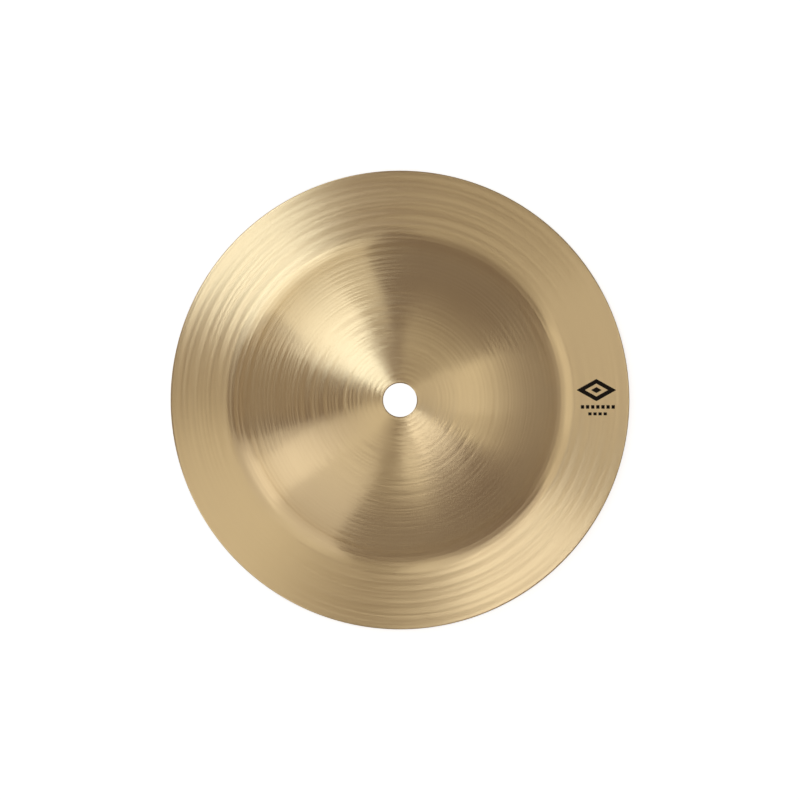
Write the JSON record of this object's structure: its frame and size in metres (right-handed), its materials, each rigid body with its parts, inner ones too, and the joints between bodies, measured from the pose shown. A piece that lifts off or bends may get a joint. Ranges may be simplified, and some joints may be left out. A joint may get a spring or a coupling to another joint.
{
  "type": "bell cymbal",
  "caption": "Small turned bronze bell cymbal: a deep round bell with a centre hole, a hollow sweep round its foot and a narrow level flange.",
  "frame": {"origin": "centre of the flange's flat underside, on the cymbal's axis", "axes": "+Z along the axis, out of the crown, with the bell up; +X towards the printed mark"},
  "size_m": [0.1524, 0.1524, 0.0267],
  "materials": {
    "bronze": "lathe-turned bronze with fine circular marks, satin, under a thin clear lacquer",
    "print_ink": "thin black ink printed on the metal"
  },
  "bodies": {
    "root": {"bell_cymbal": "bronze"}
  },
  "joints": []
}
